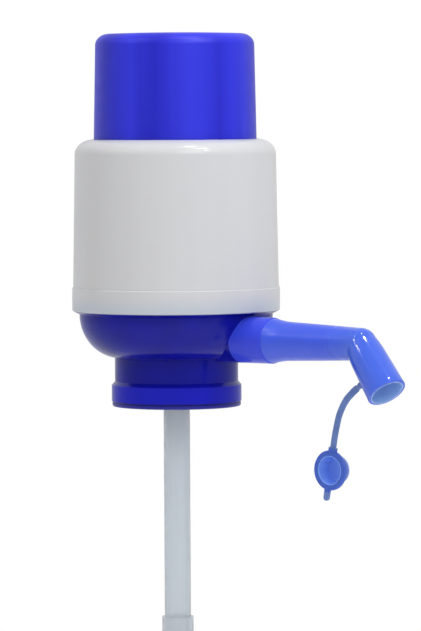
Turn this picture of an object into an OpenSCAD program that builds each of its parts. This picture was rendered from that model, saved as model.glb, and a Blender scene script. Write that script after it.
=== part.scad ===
// Hand pump for water, pushed down over a 55 mm crown neck.
// The origin is the centre of the neck's rim, where the gasket sits on it. Z points up, along
// the pump's own axis, and the spout leaves along X. All sizes are millimetres.

/* [Neck and collar] */
// Outside radius of the neck that the pump grips
neck_r = 27.5; // [25:0.25:29]
// How far the pump reaches down past the neck's rim
grip_depth = 19.9; // [17:0.1:24]
// Play between the grip ring's fins and the neck
neck_play = 0.1; // [0.05:0.05:0.3]
// Thickness of the grip ring, fins included
grip_wall = 2.25; // [1.8:0.05:3]
// Height of the fins inside the grip ring
fin_h = 0.5; // [0.3:0.05:0.8]
// Wall of the collar
collar_wall = 2.6; // [1.8:0.1:3]
// How far the collar's upper part is set in from its foot
flare_step = 1.65; // [1:0.05:2]
// Height of the collar's wide foot
flare_h = 8.1; // [6:0.1:8.4]
// Height of the slope above the foot
flare_slope = 1.9; // [1:0.1:2]
// Thickness of the grip ring's lip under the collar
lip_t = 1.8; // [1.2:0.1:2.4]
// Height of the seam between collar and lip
seam_h = 0.8; // [0.4:0.1:1.2]
// Depth of that seam
seam_depth = 1.2; // [0.6:0.1:1.6]
// Thickness of the rubber neck gasket
gasket_t = 3.2; // [2:0.2:4]
// Radius of the hole in the neck gasket
gasket_hole_r = 20.5; // [18:0.5:22]

/* [Bowl and boss] */
// Height of the bowl's underside above the neck's rim
bowl_z = 4.4; // [4.2:0.1:6]
// Width of the bowl's rounded side
bowl_round_w = 20.1; // [17:0.1:21]
// Height of that round
bowl_round_h = 21.9; // [18:0.1:23]
// Height of the slope between the round and the shell's foot
sill_h = 1.6; // [1.2:0.1:3]
// Wall of the bowl
bowl_wall = 2.2; // [1.8:0.1:2.6]
// Height of the rim that stands up inside the shell
rim_h = 11; // [10:0.5:14]
// How far the bowl is set in from that rim
rim_step = 1; // [0.6:0.1:1.4]
// Outer radius of the boss that holds the spout
boss_r = 11.4; // [11:0.05:11.6]
// How much wider the boss is at its root
boss_draft = 0.3; // [0.1:0.05:0.5]
// How far the boss stands out past the shell's band
boss_out = 11.4; // [9:0.05:16]
// How far the top of the boss's mouth stays under the shell's foot
boss_gap = 1.95; // [1.9:0.05:3]
// Radius of the riser above the suction tube
riser_r = 4.2; // [3.4:0.1:4.4]
// Radius of the channel from the riser to the boss
channel_r = 3.9; // [3:0.1:4.1]
// Wall of the riser and the channel
channel_wall = 1.8; // [1.4:0.1:2]
// Radius of the four air ports in the floor
port_r = 2.2; // [1.5:0.1:2.6]

/* [Shell] */
// Outer radius of the shell above its band
shell_r = 51.5; // [50:0.25:53]
// How much narrower the shell is at its shoulder
shell_draft = 1.15; // [0.4:0.05:1.5]
// Wall of the shell
shell_wall = 2; // [1.6:0.1:2.2]
// Height of the shell, from its foot to the edge round the cap
shell_h = 85.6; // [80:0.1:100]
// Width of the step inside the shell that rests on the bowl's rim
seat_step = 0.6; // [0.4:0.05:0.8]
// How far the band stands out from the shell
band_step = 0.5; // [0.3:0.05:1.2]
// Height of the band
band_h = 11.7; // [10:0.1:14]
// Bevel under the band
band_bevel = 0.4; // [0.2:0.1:1]
// Height of the rounded shoulder
shoulder_h = 7.5; // [4:0.1:9]
// Length of the sleeve that guides the cap
guide_h = 9.4; // [6:0.2:14]
// Wall of that sleeve
guide_wall = 2.2; // [1.6:0.1:2.6]
// Number of bayonet lugs
lugs = 4; // [3:1:6]
// Width of a bayonet lug, in degrees
lug_angle = 24; // [16:1:28]
// Height of a bayonet lug
lug_h = 3; // [2:0.2:4]

/* [Press cap] */
// How far the cap is set in from the shell's outside
cap_inset = 10.8; // [9.5:0.1:12]
// How much narrower the cap is at its top
cap_draft = 0.95; // [0.3:0.05:1.4]
// How far the cap travels when it is pressed
stroke = 42; // [38:0.5:46]
// Height of the cap that stays above the shell when it is pressed
cap_stay = 11.2; // [10:0.1:16]
// Width of the cap's rounded top corner
cap_round_w = 6.9; // [4:0.1:10]
// Height of that rounded corner
cap_round_h = 5.7; // [4:0.1:8]
// Rise of the cap's top at its middle
cap_crown = 0.55; // [0.1:0.05:1]
// Wall of the cap
cap_wall = 1.8; // [1.4:0.1:2.2]
// Thickness of the cap's roof
roof_t = 2.2; // [1.6:0.1:3]
// Play between the cap and the sleeve that guides it
cap_play = 0.5; // [0.3:0.05:0.8]
// Width of the flange that stops the cap under the sleeve
cap_flange = 3.6; // [3:0.1:4]
// Thickness of that flange
cap_flange_t = 2.5; // [1.6:0.1:4]

/* [Bellows and spring] */
// Play between the bellows and the inside of the cap
bellows_play = 1.6; // [1:0.1:3]
// Depth of the bellows' folds
fold_depth = 4; // [2.5:0.1:4.5]
// Number of the bellows' folds
folds = 11; // [8:1:14]
// Thickness of the bellows' wall
bellows_t = 1.5; // [1:0.1:1.6]
// Width of the rings that clamp the bellows
ring_w = 6.4; // [6:0.1:6.6]
// Thickness of those rings and of the two discs
disc_t = 2.5; // [2:0.1:3.2]
// Radius of the spring wire
wire_r = 0.9; // [0.6:0.05:1.2]
// Room between the spring and the check valve's air holes
coil_gap = 0.8; // [0.6:0.1:2]
// Number of the spring's open turns
coils = 10; // [7:1:13]
// Drop from the cap's roof to the spring plate
plate_drop = 8; // [6:0.5:12]

/* [Valves and screws] */
// Radius of a valve's rubber disc
valve_r = 7.2; // [6.6:0.1:7.8]
// How far a valve lifts off its seat
valve_lift = 1.2; // [0.8:0.1:1.6]
// Radius of a valve's stem
stem_r = 1.5; // [1:0.1:2]
// Radius of the air holes under a valve
air_hole_r = 1.5; // [1:0.1:1.8]
// Room between the check valve's air holes and the bellows
check_gap = 0.75; // [0.6:0.05:2]
// Radius of a screw's shank
shank_r = 1.25; // [1:0.05:1.5]
// Length of the screws in the bowl
base_screw_l = 14; // [11:0.5:16]

/* [Spout] */
// Length of the tube, from the boss to the middle of the elbow
tube_l = 54; // [40:0.2:80]
// Outer radius of the tube near the boss
tube_root_r = 9.65; // [9:0.05:10]
// Outer radius of the tube at the elbow
tube_end_r = 7.95; // [7.4:0.05:8.4]
// Length of the flare at the tube's root
flare_l = 8.4; // [4:0.2:10]
// Radius of the flare where it meets the boss
flare_r = 11; // [10:0.05:11.1]
// Angle of the nozzle below the tube
nozzle_angle = 50.5; // [40:0.5:70]
// Length of the nozzle, from the middle of the elbow
nozzle_l = 29.9; // [26:0.1:45]
// Outer radius of the nozzle at its mouth
mouth_r = 9.85; // [9.4:0.05:10.4]
// Radius of the nozzle's straight bore
outlet_r = 8.05; // [7.4:0.05:8.2]
// Length of that straight bore
outlet_l = 9; // [8:0.5:12]
// Radius of the spigot in the boss
spigot_r = 8; // [7.8:0.05:8.3]
// Length of the spigot
spigot_l = 13; // [11:0.5:15]
// Play between the spigot and the boss
spigot_play = 0.05; // [0.02:0.01:0.1]
// Radius of the seal ring's section
seal_r = 0.8; // [0.6:0.05:0.9]
// How far the spout is turned in the boss, in degrees
spout_twist = 10; // [-20:1:20]

/* [Dust cap] */
// Radius of the flange
dust_flange_r = 9.8; // [9:0.05:11]
// Thickness of the flange
dust_flange_t = 1.2; // [0.9:0.1:2]
// Play between the plug and the nozzle's bore
plug_play = 0.1; // [0.05:0.05:0.3]
// Length of the plug
plug_l = 7; // [5:0.2:9]
// Wall of the plug
plug_wall = 1.2; // [0.8:0.1:1.6]
// Width of the pull tab
tab_w = 3.2; // [2.4:0.1:5]
// Length of the pull tab
tab_l = 5.3; // [3:0.1:8]
// Width of the strap
strap_w = 3.7; // [3:0.1:4.4]
// Thickness of the strap
strap_t = 1.5; // [1:0.1:1.8]

/* [Suction tube] */
// Outer radius of the suction tube
dip_r = 6.6; // [6:0.1:7.5]
// Wall of the suction tube
dip_wall = 1.15; // [0.8:0.05:1.5]
// Length of one section of the suction tube
dip_l = 145; // [100:5:160]
// Length of the sockets that join the sections
socket_l = 16; // [10:1:20]
// Wall of those sockets
socket_wall = 1.25; // [1:0.05:1.8]
// Length of the nipple that carries the suction tube
nipple_l = 17; // [12:0.5:20]
// Height of the slotted foot
foot_h = 22; // [18:1:30]
// Number of slots in the foot
foot_slots = 6; // [4:1:8]

/* [Hidden] */
$fn = 96;
fit = 0.05;          // play of a push fit
soft_gap = 0.3;      // room left round soft pieces on another body
through = 0.5;       // how far a cutting tool reaches past a face

// Collar and grip ring, from the neck outwards
fin_r = neck_r + neck_play;
grip_r = fin_r + grip_wall;
foot_bore_r = grip_r + fit;
foot_r = foot_bore_r + collar_wall;
collar_r = foot_r - flare_step;
collar_bore_r = collar_r - collar_wall;
lip_z = -grip_depth;
seam_z = lip_z + lip_t;
foot_z = seam_z + seam_h;
slope_z = foot_z + flare_h;
grip_top_z = slope_z - 0.8;
seam_r = foot_r - seam_depth;
lip_r = foot_r - 0.3;

// Bowl, rim and shell heights
round_z = bowl_z + bowl_round_h;
sill_z = round_z + sill_h;
shell_z = sill_z + 0.1;
band_r = shell_r + band_step;
sill_r = band_r - 0.5;
shell_bore_r = shell_r - shell_wall;
rim_r = shell_bore_r - 0.1;
bowl_r = rim_r - rim_step;
round_r = bowl_r - bowl_round_w;
floor_z = bowl_z + bowl_wall;
hollow_r = bowl_r - bowl_wall;
rim_z = shell_z + rim_h;
lug_z = shell_z + 5.2;
lug_out = 1;
lug_play = 0.2;
shell_top_z = shell_z + shell_h;
shoulder_r = shell_r - shell_draft;
band_z = shell_z + band_h;
guide_edge = 0.15;   // how far the shoulder's curve reaches in past the sleeve's face

// Boss and spout
spout_z = shell_z - boss_gap - boss_r;
boss_x = band_r + boss_out;
boss_bore_r = spigot_r + spigot_play;
spigot_x = boss_x - spigot_l;
boss_bore_x = spigot_x - 0.4;
shoulder_gap = 0.1;
root_x = boss_x + shoulder_gap;
elbow_x = boss_x + tube_l;
tube_bore_r = 6;
spigot_bore_r = 5;
groove_r = boss_bore_r - 2 * seal_r - fit;
groove_w = 2 * seal_r + 0.4;
groove_x = spigot_x + 4;

// Cap and what hangs in it
cap_r = shell_r - cap_inset;
guide_r = cap_r + cap_play;
shoulder_w = shoulder_r - guide_r + guide_edge;
guide_z = shell_top_z - guide_h;
cap_z = guide_z - cap_flange_t;
cap_top_z = shell_top_z + cap_stay + stroke;
cap_skirt_r = cap_r + 0.2;
cap_top_r = cap_r - cap_draft;
cap_bore_r = cap_skirt_r - cap_wall;
roof_z = cap_top_z - roof_t;
post_r = 3;
rib_t = 1.5;
plate_top_z = roof_z - plate_drop;
plate_z = plate_top_z - disc_t;

// Bellows between the valve plate and the spring plate
valve_plate_z = round_z - 2.8;
seat_z = valve_plate_z + disc_t;
bellows_r = cap_top_r - cap_wall - bellows_play;
valley_r = bellows_r - fold_depth;
lip_hole_r = valley_r - bellows_t - ring_w - 0.6;
top_lip_z = plate_z - soft_gap - bellows_t;
top_ring_z = top_lip_z - soft_gap - disc_t;
bottom_lip_z = seat_z + bellows_t;
clamp_r = bellows_r + 1.5;
clamp_out_r = hollow_r - 2.2;
base_screw_r = (clamp_r + clamp_out_r) / 2;
base_screw_n = 4;
top_screw_r = lip_hole_r + ring_w / 2;
top_screw_n = 3;
head_r = 2.3;
head_h = 1.8;
pilot_r = shank_r + fit;
clear_r = shank_r + 0.35;
top_screw_l = 14;
ledge_w = 4.2;
pillar_r = 3.4;
pillar_gap = 0.3;    // how far the pillars stay under the valve plate

// Valves, and the spring between their air holes
air_holes = 6;
air_ring_r = valve_r - air_hole_r - 1.2;
air_reach = air_ring_r + air_hole_r;
check_x = valley_r - bellows_t - check_gap - air_reach;
coil_r = check_x - air_reach - coil_gap - wire_r;
steps_per_turn = 8;
spring_rib_r = (coil_r - wire_r) * cos(180 / steps_per_turn) - 0.4;
spring_rib_w = 1.2;
spring_rib_h = 2;

// Suction tube
ceiling_z = gasket_t;
dip_bore_r = dip_r - dip_wall;
nipple_r = dip_bore_r - fit;
dip_top_z = ceiling_z;
dip_joint_1_z = dip_top_z - dip_l;
dip_joint_2_z = dip_joint_1_z - dip_l;
dip_end_z = dip_joint_2_z - dip_l;
socket_r = dip_r + fit + socket_wall;

// Nozzle direction and the outward direction of its underside, before the spout is turned
nozzle_dir = [cos(nozzle_angle), 0, -sin(nozzle_angle)];
under_dir = [-sin(nozzle_angle), 0, -cos(nozzle_angle)];
elbow = [elbow_x, 0, spout_z];
knob_s = 17;         // where the strap's ball stands, along the nozzle
ball_r = 1.1;
ball_rise = 1.5;     // how far the ball's middle stands off the nozzle
stem_to_ball_r = 0.6;
eye_wall = 0.5;
eye_r = ball_r + fit + eye_wall;
nozzle_8_r = 8.9;    // outer radius of the nozzle clear of the elbow
lip_round = 0.6;     // roundness of the nozzle's mouth
elbow_swell = 0.03;  // how much fuller the elbow's ball is than the tube

// The strap's middle line, measured from the ball it hangs on
ROUTE = [[-1.9, -0.2, -1.5], [-3.8, -0.4, -3], [-6.9, -0.7, -5.9], [-8.5, -0.9, -7.8],
         [-9.9, -1, -10], [-11.2, -1.1, -12.4], [-12.3, -1.2, -14.9], [-13.1, -1.3, -17.5],
         [-13.7, -1.4, -20.1], [-14.3, -1.5, -22.7], [-14.8, -1.6, -25.3], [-15.3, -1.6, -27.9],
         [-15.8, -1.6, -30.8]];
last_ring = len(ROUTE) - 1;
ball_s_r = nozzle_8_r + (mouth_r - nozzle_8_r) * (knob_s - 8) / (nozzle_l - 8);
ball_flat = knob_s * nozzle_dir + (ball_s_r + ball_rise) * under_dir;
ball_c = elbow + [ball_flat[0], ball_flat[2] * sin(spout_twist), ball_flat[2] * cos(spout_twist)];
strap_end = ball_c + ROUTE[last_ring];
strap_drop = ROUTE[last_ring] - ROUTE[last_ring - 1];
dust_lean = atan2(-strap_drop[0], -strap_drop[2]);
ear_l = 1.6;         // how far the strap's ear stands out past the flange
dust_c = strap_end - (dust_flange_r + ear_l) * [sin(dust_lean), 0, cos(dust_lean)];
plug_r = outlet_r - plug_play;

// Riser and channel in the bowl, and the air ports round them
riser_out_r = riser_r + channel_wall;
channel_out_r = channel_r + channel_wall;
riser_top_z = spout_z + channel_out_r + 1.2;
port_ring_r = (riser_out_r + gasket_hole_r) / 2;

// Points along an elliptical arc in the profile plane
function arc(r, z, rx, rz, a0, a1, n) =
    [for (i = [0 : n]) let (a = a0 + (a1 - a0) * i / n) [r + rx * cos(a), z + rz * sin(a)]];

// A ring or tube with square ends
module tube(r_out, r_in, z0, z1) {
    rotate_extrude()
        translate([r_in, z0])
            square([r_out - r_in, z1 - z0]);
}

// Copies on a circle
module around(count, r, start = 0) {
    for (i = [0 : count - 1])
        rotate([0, 0, start + 360 * i / count])
            translate([r, 0, 0])
                children();
}

// Lays an upright shape along X, at the height of the spout
module along_x() {
    translate([0, 0, spout_z])
        rotate([0, 90, 0])
            children();
}

// Turns the spout in its boss
module twisted() {
    translate([0, 0, spout_z])
        rotate([-spout_twist, 0, 0])
            translate([0, 0, -spout_z])
                children();
}

// Stands an upright shape on the elbow's middle, pointing down the nozzle
module along_nozzle() {
    translate(elbow)
        rotate([0, 90 + nozzle_angle, 0])
            children();
}

// Pan head screw with its head's seat at the origin, pointing down
module pan_screw(l) {
    tip_l = 1.2;
    head_round = 1;
    cross_l = 2.8;
    cross_w = 0.6;
    cross_depth = 0.9;
    difference() {
        union() {
            translate([0, 0, -l])
                cylinder(r1 = shank_r / 2, r2 = shank_r, h = tip_l);
            translate([0, 0, tip_l - l])
                cylinder(r = shank_r, h = l - tip_l);
            rotate_extrude()
                polygon(concat([[0, 0], [head_r, 0]],
                               arc(head_r - head_round, head_h - head_round, head_round,
                                   head_round, 0, 90, 4),
                               [[0, head_h]]));
        }
        for (a = [0, 90])
            rotate([0, 0, a])
                translate([-cross_l / 2, -cross_w / 2, head_h - cross_depth])
                    cube([cross_l, cross_w, cross_depth + through]);
    }
}

// Umbrella valve: its seat is at the origin and its disc lies below
module umbrella_valve() {
    hub_t = 1.6;
    edge_t = 0.8;
    bulb_z = disc_t + valve_lift;
    bulb_r = stem_r + 0.9;
    tip_r = 0.7;
    rotate_extrude()
        polygon([[0, -hub_t], [stem_r + tip_r, -hub_t], [valve_r, -edge_t], [valve_r, 0],
                 [stem_r, 0], [stem_r, bulb_z], [bulb_r, bulb_z + 0.5],
                 [bulb_r - 0.2, bulb_z + 1.6], [tip_r, bulb_z + 3], [0, bulb_z + 3]]);
}

// The holes of a valve: one for the stem and six for the air
module valve_holes(z) {
    translate([0, 0, z - through])
        cylinder(r = stem_r + fit, h = disc_t + 2 * through);
    around(air_holes, air_ring_r)
        translate([0, 0, z - through])
            cylinder(r = air_hole_r, h = disc_t + 2 * through);
}

// Blue cap: outer skin, hollow, stop flange, ribs and screw posts
module press_cap() {
    corner_z = cap_top_z - cap_crown - cap_round_h;
    corner_r = cap_top_r - cap_round_w;
    inner_h = cap_round_h - cap_wall;
    crown_n = 6;
    rib_in_r = valve_r + 4.8;
    color("#3a3ade")
    difference() {
        union() {
            difference() {
                rotate_extrude()
                    polygon(concat([[0, cap_z], [cap_skirt_r + cap_flange, cap_z],
                                    [cap_skirt_r + cap_flange, guide_z],
                                    [cap_skirt_r, guide_z], [cap_r, shell_top_z]],
                                   arc(corner_r, corner_z, cap_round_w, cap_round_h, 0, 86, 12),
                                   [for (i = [crown_n : -1 : 0])
                                       [corner_r * i / crown_n,
                                        cap_top_z - cap_crown * pow(i / crown_n, 2)]]));
                rotate_extrude()
                    polygon(concat([[0, cap_z - through], [cap_bore_r, cap_z - through],
                                    [cap_bore_r, guide_z]],
                                   arc(corner_r, roof_z - inner_h, cap_round_w - cap_wall,
                                       inner_h, 0, 90, 6),
                                   [[0, roof_z]]));
            }
            around(top_screw_n, top_screw_r)
                translate([0, 0, plate_top_z])
                    cylinder(r = post_r, h = plate_drop + roof_t / 2);
            around(2 * top_screw_n, 0, 90 / top_screw_n)
                translate([rib_in_r, -rib_t / 2, plate_top_z])
                    cube([valley_r - rib_in_r, rib_t, plate_drop + roof_t / 2]);
        }
        around(top_screw_n, top_screw_r)
            translate([0, 0, plate_top_z - through])
                cylinder(r = pilot_r, h = plate_drop + through);
    }
}

// White shell: tapered skin, band, rounded shoulder and guide sleeve
module outer_shell() {
    side_z = shell_top_z - shoulder_h;
    band_edge = 0.6 * band_step;
    web_t = shell_wall + 0.6;
    inner_w = shoulder_w - shell_wall - seat_step;
    color("#cdced2")
    difference() {
        rotate_extrude()
            polygon(concat([[shell_bore_r, shell_z], [band_r - band_bevel, shell_z],
                            [band_r, shell_z + band_bevel], [band_r, band_z - band_edge],
                            [band_r - band_edge, band_z], [shell_r, band_z]],
                           arc(shoulder_r - shoulder_w, side_z, shoulder_w, shoulder_h, 0, 88, 14),
                           [[guide_r, shell_top_z], [guide_r, guide_z],
                            [guide_r + guide_wall, guide_z],
                            [guide_r + guide_wall, shell_top_z - web_t]],
                           arc(shoulder_r - shoulder_w, side_z, inner_w,
                               shoulder_h - shell_wall, 55, 8, 8),
                           [[shell_bore_r - seat_step, rim_z], [shell_bore_r, rim_z]]));
        bayonet_track();
    }
}

// Groove for the lugs, with an upright way in for each
module bayonet_track() {
    way_angle = lug_angle + 4;
    tube(rim_r + lug_out + lug_play, shell_bore_r - through, lug_z - lug_play,
         lug_z + lug_h + lug_play);
    for (i = [0 : lugs - 1])
        rotate([0, 0, 360 * (i + 0.5) / lugs - way_angle / 2])
            rotate_extrude(angle = way_angle)
                translate([shell_bore_r - through, shell_z - through])
                    square([rim_r + lug_out + lug_play / 2 - shell_bore_r + through,
                            lug_z - shell_z + through]);
}

// Lugs on the bowl's rim that lock under the shell's track
module bayonet_lugs() {
    for (i = [0 : lugs - 1])
        rotate([0, 0, 360 * i / lugs - lug_angle / 2])
            rotate_extrude(angle = lug_angle)
                translate([rim_r - through, lug_z])
                    square([lug_out + through, lug_h]);
}

// Outer form of bowl, rim and collar, with no hollows
module base_solid() {
    collar_in = max(0, collar_r - round_r);
    rotate_extrude()
        polygon(concat([[0, foot_z], [foot_r, foot_z], [foot_r, slope_z],
                        [collar_r, slope_z + flare_slope]],
                       collar_in > 0 ? [] : [[collar_r, bowl_z]],
                       arc(round_r, round_z, bowl_round_w, bowl_round_h,
                           asin(collar_in / bowl_round_w) - 90, 0, 14),
                       [[sill_r, sill_z], [rim_r, sill_z], [rim_r, rim_z], [0, rim_z]]));
}

// Inside of the bowl above its floor, with a ledge for the valve plate
module bowl_hollow() {
    rotate_extrude()
        polygon(concat([[0, floor_z]],
                       arc(round_r, round_z, bowl_round_w - bowl_wall, bowl_round_h - bowl_wall,
                           -90, -30, 8),
                       [[hollow_r - ledge_w, valve_plate_z - ledge_w],
                        [hollow_r - ledge_w, valve_plate_z], [hollow_r, valve_plate_z],
                        [hollow_r, rim_z + through], [0, rim_z + through]]));
}

// Dark blue moulding: bowl, collar, boss, water channel and nipple
module base_body() {
    nipple_tip = 2;
    color("#2a2a9a")
    difference() {
        union() {
            difference() {
                union() {
                    base_solid();
                    bayonet_lugs();
                    along_x()
                        boss_form();
                }
                bowl_hollow();
                tube(foot_bore_r, 0, foot_z - through, grip_top_z);
                tube(collar_bore_r, 0, foot_z - through, ceiling_z);
            }
            translate([0, 0, ceiling_z])
                cylinder(r = riser_out_r, h = riser_top_z - ceiling_z);
            along_x()
                cylinder(r = channel_out_r, h = hollow_r);
            intersection() {
                base_solid();
                around(base_screw_n, base_screw_r, 45)
                    translate([0, 0, floor_z])
                        cylinder(r = pillar_r, h = valve_plate_z - pillar_gap - floor_z);
            }
            translate([0, 0, ceiling_z - nipple_l])
                cylinder(r1 = nipple_r - 0.8, r2 = nipple_r, h = nipple_tip);
            translate([0, 0, ceiling_z - nipple_l + nipple_tip])
                cylinder(r = nipple_r, h = nipple_l);
        }
        translate([0, 0, ceiling_z - nipple_l - through])
            cylinder(r = riser_r, h = spout_z + 1 - ceiling_z + nipple_l + through);
        along_x()
            cylinder(r = channel_r, h = boss_x);
        along_x()
            translate([0, 0, boss_bore_x])
                cylinder(r = boss_bore_r, h = spigot_l + 1);
        around(4, port_ring_r, 45)
            translate([0, 0, ceiling_z - through])
                cylinder(r = port_r, h = floor_z - ceiling_z + 2 * through);
        around(base_screw_n, base_screw_r, 45)
            translate([0, 0, seat_z - base_screw_l])
                cylinder(r = pilot_r, h = base_screw_l);
    }
}

// Boss with a rounded mouth edge, upright
module boss_form() {
    edge = 0.8;
    start = collar_r + 0.5;
    rotate_extrude()
        polygon(concat([[0, start], [boss_r + boss_draft, start]],
                       arc(boss_r - edge, boss_x - edge, edge, edge, 0, 90, 4), [[0, boss_x]]));
}

// Softer ring in the collar: fins grip the neck, and its lip closes the collar
module neck_grip_ring() {
    fin_pitch = (grip_top_z - seam_z) / 3;
    wall_r = fin_r + fin_h;
    lip_edge = 0.9;
    color("#31319f")
    rotate_extrude()
        polygon(concat([[wall_r, lip_z]],
                       arc(lip_r - lip_edge, lip_z + lip_edge, lip_edge, lip_edge, -90, 0, 3),
                       [[lip_r, seam_z], [seam_r, seam_z], [seam_r, foot_z], [grip_r, foot_z],
                        [grip_r, grip_top_z], [wall_r, grip_top_z]],
                       [for (i = [2 : -1 : 0]) each [[wall_r, seam_z + fin_pitch * i + 1.8],
                                                     [fin_r, seam_z + fin_pitch * i + 1.5],
                                                     [fin_r, seam_z + fin_pitch * i + 1.1],
                                                     [wall_r, seam_z + fin_pitch * i]]]));
}

// Rubber ring that seals on the neck's rim
module neck_gasket() {
    color("#303236")
    tube(collar_bore_r - fit, gasket_hole_r, 0, gasket_t);
}

// Lighter blue spout: spigot, tapered tube, elbow and nozzle, with the strap's knob
module spout() {
    color("#4f68e6")
    twisted()
        difference() {
            union() {
                along_x()
                    spout_tube_form();
                along_nozzle()
                    nozzle_form();
                translate(elbow)
                    sphere(r = tube_end_r + elbow_swell);
                ball_stud();
            }
            along_x()
                translate([0, 0, spigot_x - through])
                    cylinder(r1 = spigot_bore_r, r2 = tube_bore_r, h = elbow_x - spigot_x + through);
            translate(elbow)
                sphere(r = tube_bore_r + elbow_swell);
            along_nozzle()
                cylinder(r1 = tube_bore_r, r2 = outlet_r, h = nozzle_l - outlet_l);
            along_nozzle()
                translate([0, 0, nozzle_l - outlet_l])
                    cylinder(r = outlet_r, h = outlet_l + through);
        }
}

// Ball on a short stem under the nozzle, before the spout is turned
module ball_stud() {
    foot = ball_rise + 1.5;
    translate(elbow + ball_flat)
        sphere(r = ball_r, $fn = 32);
    translate(elbow + ball_flat - foot * under_dir)
        rotate([0, 180 + nozzle_angle, 0])
            cylinder(r = stem_to_ball_r, h = foot, $fn = 32);
}

// Spigot with its seal groove, flare and tapered tube, upright
module spout_tube_form() {
    flare_n = 6;
    rotate_extrude()
        polygon(concat([[0, spigot_x], [spigot_r - 0.6, spigot_x], [spigot_r, spigot_x + 0.8],
                        [spigot_r, groove_x], [groove_r, groove_x],
                        [groove_r, groove_x + groove_w], [spigot_r, groove_x + groove_w],
                        [spigot_r, root_x]],
                       [for (i = [0 : flare_n])
                           let (t = i / flare_n)
                           [flare_r - (flare_r - tube_root_r) * t * (1.4 - 0.4 * t),
                            root_x + flare_l * t]],
                       [[tube_end_r, elbow_x], [0, elbow_x]]));
}

// Nozzle from the elbow's middle to its rounded mouth, upright
module nozzle_form() {
    rotate_extrude()
        polygon(concat([[0, 0], [tube_end_r, 0], [(tube_end_r + nozzle_8_r) / 2 + 0.1, 4],
                        [nozzle_8_r, 8]],
                       arc(mouth_r - lip_round, nozzle_l - lip_round, lip_round, lip_round, 0, 90, 4),
                       [[0, nozzle_l]]));
}

// Seal ring in the spigot's groove
module spout_oring() {
    color("#26282c")
    along_x()
        translate([0, 0, groove_x + groove_w / 2])
            rotate_extrude()
                translate([groove_r + seal_r, 0])
                    circle(r = seal_r, $fn = 32);
}

// One flattened section of the strap, square to its direction
function strap_ring(i) =
    let (d = ROUTE[min(i + 1, last_ring)] - ROUTE[max(i - 1, 0)],
         across = cross(d, [0, 1, 0]) / norm(cross(d, [0, 1, 0])),
         over = cross(across, d) / norm(d))
    [for (a = [22.5 : 45 : 359])
        ball_c + ROUTE[i] + across * strap_w / 2 * cos(a) / cos(22.5)
                          + over * strap_t / 2 * sin(a) / cos(22.5)];

// Thin strap between the eye and the dust cap
module cap_tether() {
    sides = 8;
    color("#5573c8")
    polyhedron(
        points = [for (i = [0 : last_ring]) each strap_ring(i)],
        faces = concat(
            [[for (k = [0 : sides - 1]) k]],
            [[for (k = [sides - 1 : -1 : 0]) last_ring * sides + k]],
            [for (i = [0 : last_ring - 1]) for (k = [0 : sides - 1])
                let (a = i * sides + k, b = i * sides + (k + 1) % sides)
                each [[a, a + sides, b + sides], [a, b + sides, b]]]));
}

// Eye that snaps over the ball, with a flat neck that carries the strap
module tether_eye() {
    neck = ROUTE[0];
    neck_l = norm(neck);
    neck_tilt = acos(neck[2] / neck_l);
    neck_turn = atan2(neck[1], neck[0]);
    neck_w = 1.35;
    inner = ball_r + fit;
    rim_a = -33;
    color("#5573c8")
    translate(ball_c)
        rotate([0, neck_tilt, neck_turn])
            rotate_extrude($fn = 48)
                polygon(concat(arc(0, 0, inner, inner, 90, rim_a, 8),
                               arc(0, 0, eye_r, eye_r, rim_a, acos(neck_w / eye_r), 8),
                               [[neck_w, neck_l], [0, neck_l]]));
}

// Hollow plug with a flange, a pull tab and an ear for the strap, lying in the XZ plane
module dust_cap() {
    top_r = plug_r - 1;
    nose = 2;
    color("#4a66d2")
    translate(dust_c)
        rotate([0, dust_lean, 0])
            rotate([-90, 0, 0])
                translate([0, 0, -dust_flange_t / 2]) {
                    rotate_extrude()
                        polygon(concat([[plug_r - plug_wall, 0], [dust_flange_r - 0.3, 0],
                                        [dust_flange_r, 0.3], [dust_flange_r, dust_flange_t],
                                        [plug_r - 0.3, dust_flange_t], [plug_r, dust_flange_t + 1],
                                        [plug_r, dust_flange_t + 2]],
                                       arc(top_r - nose, dust_flange_t + plug_l - nose, nose, nose,
                                           10, 90, 5),
                                       [[0, dust_flange_t + plug_l],
                                        [0, dust_flange_t + plug_l - plug_wall]],
                                       arc(top_r - nose, dust_flange_t + plug_l - nose,
                                           nose - plug_wall, nose - plug_wall, 90, 10, 3)));
                    translate([-tab_w / 2, dust_flange_r - 1, 0])
                        cube([tab_w, tab_l - tab_w / 2 + 1, dust_flange_t]);
                    translate([0, dust_flange_r + tab_l - tab_w / 2, 0])
                        cylinder(r = tab_w / 2, h = dust_flange_t, $fn = 32);
                    translate([-strap_w / 2 - 0.3, -dust_flange_r - ear_l,
                               dust_flange_t / 2 - strap_t / 2 - 0.1])
                        cube([strap_w + 0.6, ear_l + 1, strap_t + 0.2]);
                }
}

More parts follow.
